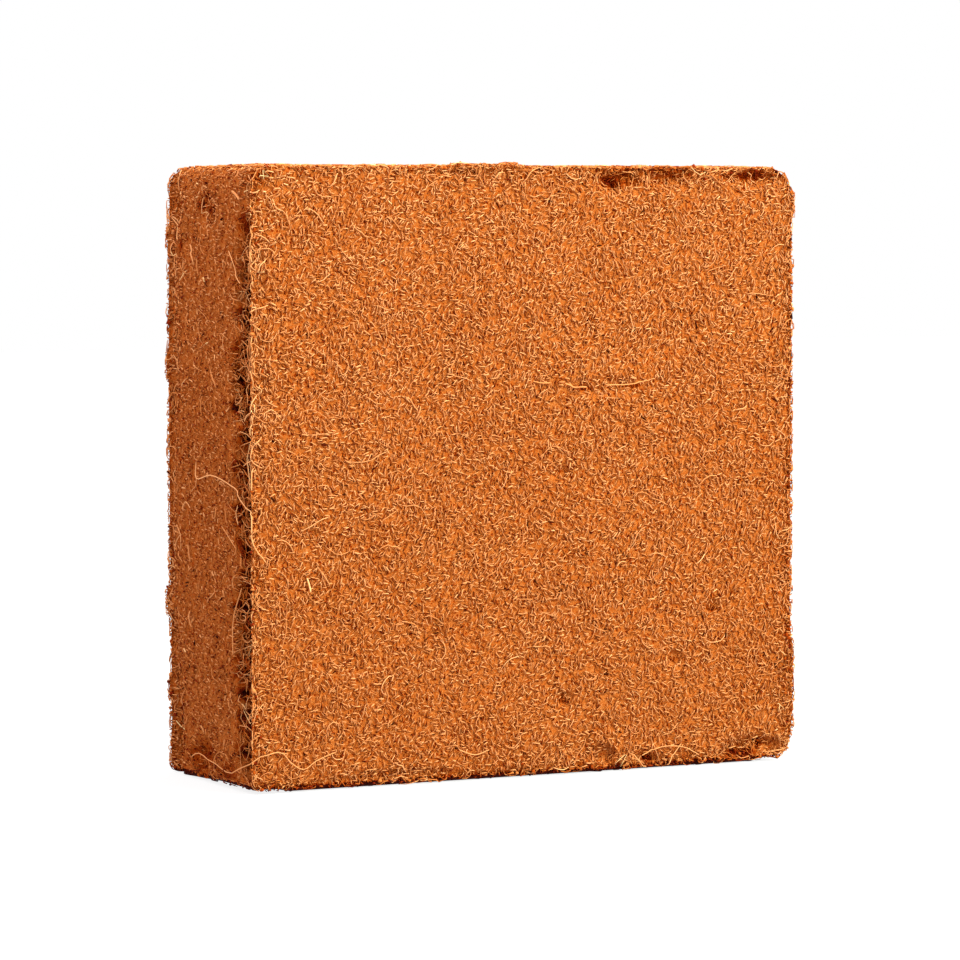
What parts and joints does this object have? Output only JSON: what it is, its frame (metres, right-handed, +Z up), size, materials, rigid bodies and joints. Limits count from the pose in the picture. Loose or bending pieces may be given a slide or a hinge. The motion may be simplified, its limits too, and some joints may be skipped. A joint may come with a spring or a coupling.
{
  "type": "coconut coir bale",
  "caption": "Square pressed block of coconut coir, standing on a narrow side, with rounded mould corners and crumbled, fibrous rims.",
  "frame": {"origin": "centre of the base, at the middle of the bale's bounding box", "axes": "+Z up; X is the width; Y is the thickness, the way the bale was pressed, with the front large face towards -Y"},
  "size_m": [0.305, 0.105, 0.305],
  "materials": {
    "coir": "matte, rough, felted coconut fibre and pith"
  },
  "bodies": {
    "root": {"coir_bale": "coir"}
  },
  "joints": []
}
